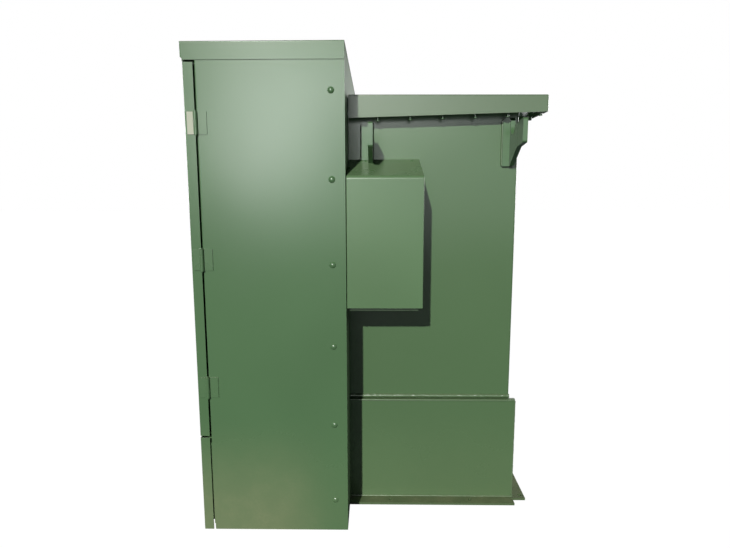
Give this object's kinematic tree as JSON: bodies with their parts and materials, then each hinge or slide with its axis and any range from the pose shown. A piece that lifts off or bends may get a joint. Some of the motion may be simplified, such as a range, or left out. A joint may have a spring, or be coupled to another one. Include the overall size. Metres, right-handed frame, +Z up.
{
  "type": "pad-mounted transformer",
  "caption": "Green pad-mounted distribution transformer: a two-door terminal cabinet bolted to an oil tank with cover, lifting lugs, side gauge box and anchor flanges.",
  "frame": {"origin": "pad level, mid-width, at the mid-plane of the terminal plate between cabinet and tank", "axes": "+X towards the low-voltage side, +Y from the doors towards the tank, +Z up"},
  "size_m": [1.758, 1.243, 1.7],
  "materials": {
    "green_enamel": "satin",
    "dusty_enamel": "satin, dusty",
    "gasket_rubber": "matte",
    "zinc_steel": "zinc plated",
    "gauge_case": "satin",
    "pointer_black": "matte",
    "epoxy_resin": "gloss",
    "insert_rubber": "satin",
    "fuse_resin": "satin",
    "mechanism_grey": "satin",
    "yellow_enamel": "gloss",
    "red_enamel": "gloss",
    "tinned_metal": "tin plated",
    "strap_copper": "satin",
    "plate_aluminium": "brushed",
    "valve_brass": "satin",
    "core_steel": "oiled",
    "winding": "lacquered"
  },
  "bodies": {
    "tank": {"tank_shell": "green_enamel", "base_skirt": "green_enamel", "anchor_flanges": "dusty_enamel", "terminal_plate": "green_enamel", "tank_rim": "green_enamel", "cover_gasket": "gasket_rubber", "tank_cover": "green_enamel", "cover_studs": "zinc_steel", "lifting_lugs": "green_enamel", "gauge_box_frame": "green_enamel", "gauge_box_cover": "green_enamel", "gauge_box_screws": "green_enamel", "level_gauge": "gauge_case", "thermometer": "gauge_case", "pressure_gauge": "gauge_case", "side_panel_right": "green_enamel", "side_panel_left": "green_enamel", "side_panel_bolts": "green_enamel", "hood": "green_enamel", "sill": "green_enamel", "hood_sill_bolts": "zinc_steel", "compartment_barrier": "green_enamel", "frame_hinge_leaves": "green_enamel", "hinge_pins": "green_enamel", "hv_bushing_wells": "epoxy_resin", "bushing_inserts": "insert_rubber", "parking_stands": "zinc_steel", "fuse_housings": "fuse_resin", "drip_tray": "zinc_steel", "switch_block": "mechanism_grey", "tap_changer": "mechanism_grey", "lv_bushings": "epoxy_resin", "lv_spades": "tinned_metal", "neutral_strap": "strap_copper", "nameplate": "plate_aluminium", "drain_valve": "valve_brass", "relief_valve": "valve_brass", "core": "core_steel", "core_clamps": "core_steel", "windings": "winding"},
    "lv_door": {"lv_door": "green_enamel", "lv_hinge_leaves": "green_enamel"},
    "hv_door": {"hv_door": "green_enamel", "hv_hinge_leaves": "green_enamel"},
    "handle": {"door_handle": "zinc_steel"},
    "upper_rod": {"latch_rod_upper": "zinc_steel"},
    "lower_rod": {"latch_rod_lower": "zinc_steel"},
    "lock_bolt": {"lock_bolt": "zinc_steel"},
    "lv_stay": {"door_stay_lv": "zinc_steel"},
    "hv_stay": {"door_stay_hv": "zinc_steel"},
    "fuse_1": {"fuse_holder_1": "fuse_resin"},
    "fuse_2": {"fuse_holder_2": "fuse_resin"},
    "fuse_3": {"fuse_holder_3": "fuse_resin"},
    "switch": {"switch_handle": "yellow_enamel"},
    "tap": {"tap_handle": "red_enamel"},
    "drain": {"drain_lever": "red_enamel"},
    "relief": {"relief_ring": "zinc_steel"},
    "level": {"level_pointer": "pointer_black"},
    "temperature": {"temperature_pointer": "pointer_black"},
    "pressure": {"pressure_pointer": "pointer_black"}
  },
  "joints": [
    {"name": "lv_door_swing", "type": "hinge", "parent": "tank", "child": "lv_door", "pos_m": [0.872, -0.484, 1], "axis": [0, 0, 1], "range_deg": [0, 120]},
    {"name": "hv_door_swing", "type": "hinge", "parent": "tank", "child": "hv_door", "pos_m": [-0.872, -0.484, 1], "axis": [0, 0, -1], "range_deg": [0, 120]},
    {"name": "handle_turn", "type": "hinge", "parent": "lv_door", "child": "handle", "pos_m": [0.092, -0.5, 1.04], "axis": [0, 1, 0], "range_deg": [0, 90]},
    {"name": "upper_rod_slide", "type": "slide", "parent": "lv_door", "child": "upper_rod", "axis": [0, 0, 1], "range_m": [0, 0.0485]},
    {"name": "lower_rod_slide", "type": "slide", "parent": "lv_door", "child": "lower_rod", "axis": [0, 0, -1], "range_m": [0, 0.0485]},
    {"name": "lock_bolt_turn", "type": "hinge", "parent": "lv_door", "child": "lock_bolt", "pos_m": [0.17, -0.495, 0.93], "axis": [0, -1, 0], "continuous": true},
    {"name": "lv_stay_swing", "type": "hinge", "parent": "lv_door", "child": "lv_stay", "pos_m": [0.64, -0.505, 1.59], "axis": [0, 0, -1], "range_deg": [0, 90]},
    {"name": "hv_stay_swing", "type": "hinge", "parent": "hv_door", "child": "hv_stay", "pos_m": [-0.64, -0.505, 1.59], "axis": [0, 0, 1], "range_deg": [0, 90]},
    {"name": "fuse_1_draw", "type": "slide", "parent": "tank", "child": "fuse_1", "axis": [0, -1, 0], "range_m": [0, 0.33]},
    {"name": "fuse_2_draw", "type": "slide", "parent": "tank", "child": "fuse_2", "axis": [0, -1, 0], "range_m": [0, 0.33]},
    {"name": "fuse_3_draw", "type": "slide", "parent": "tank", "child": "fuse_3", "axis": [0, -1, 0], "range_m": [0, 0.33]},
    {"name": "switch_turn", "type": "hinge", "parent": "tank", "child": "switch", "pos_m": [-0.14, -0.03, 1.29], "axis": [0, 1, 0], "range_deg": [0, 90]},
    {"name": "tap_turn", "type": "hinge", "parent": "tank", "child": "tap", "pos_m": [-0.14, -0.03, 1.15], "axis": [0, 1, 0], "range_deg": [-72, 72]},
    {"name": "drain_turn", "type": "hinge", "parent": "tank", "child": "drain", "pos_m": [0.54, -0.064, 0.19], "axis": [0, 0, 1], "range_deg": [0, 90]},
    {"name": "relief_pull", "type": "slide", "parent": "tank", "child": "relief", "axis": [0, -1, 0], "range_m": [0, 0.006], "stiffness_N_per_m": 1500},
    {"name": "level_needle", "type": "hinge", "parent": "tank", "child": "level", "pos_m": [0.689, 0.136, 1.17], "axis": [1, 0, 0], "range_deg": [-60, 60]},
    {"name": "temperature_needle", "type": "hinge", "parent": "tank", "child": "temperature", "pos_m": [0.689, 0.076, 0.98], "axis": [1, 0, 0], "range_deg": [-120, 120]},
    {"name": "pressure_needle", "type": "hinge", "parent": "tank", "child": "pressure", "pos_m": [0.689, 0.202, 0.98], "axis": [1, 0, 0], "range_deg": [-120, 120]}
  ],
  "couplings": [
    {"joint": "upper_rod_slide", "follows": "handle_turn", "m_per_rad": 0.030611},
    {"joint": "lower_rod_slide", "follows": "handle_turn", "m_per_rad": 0.030611}
  ]
}
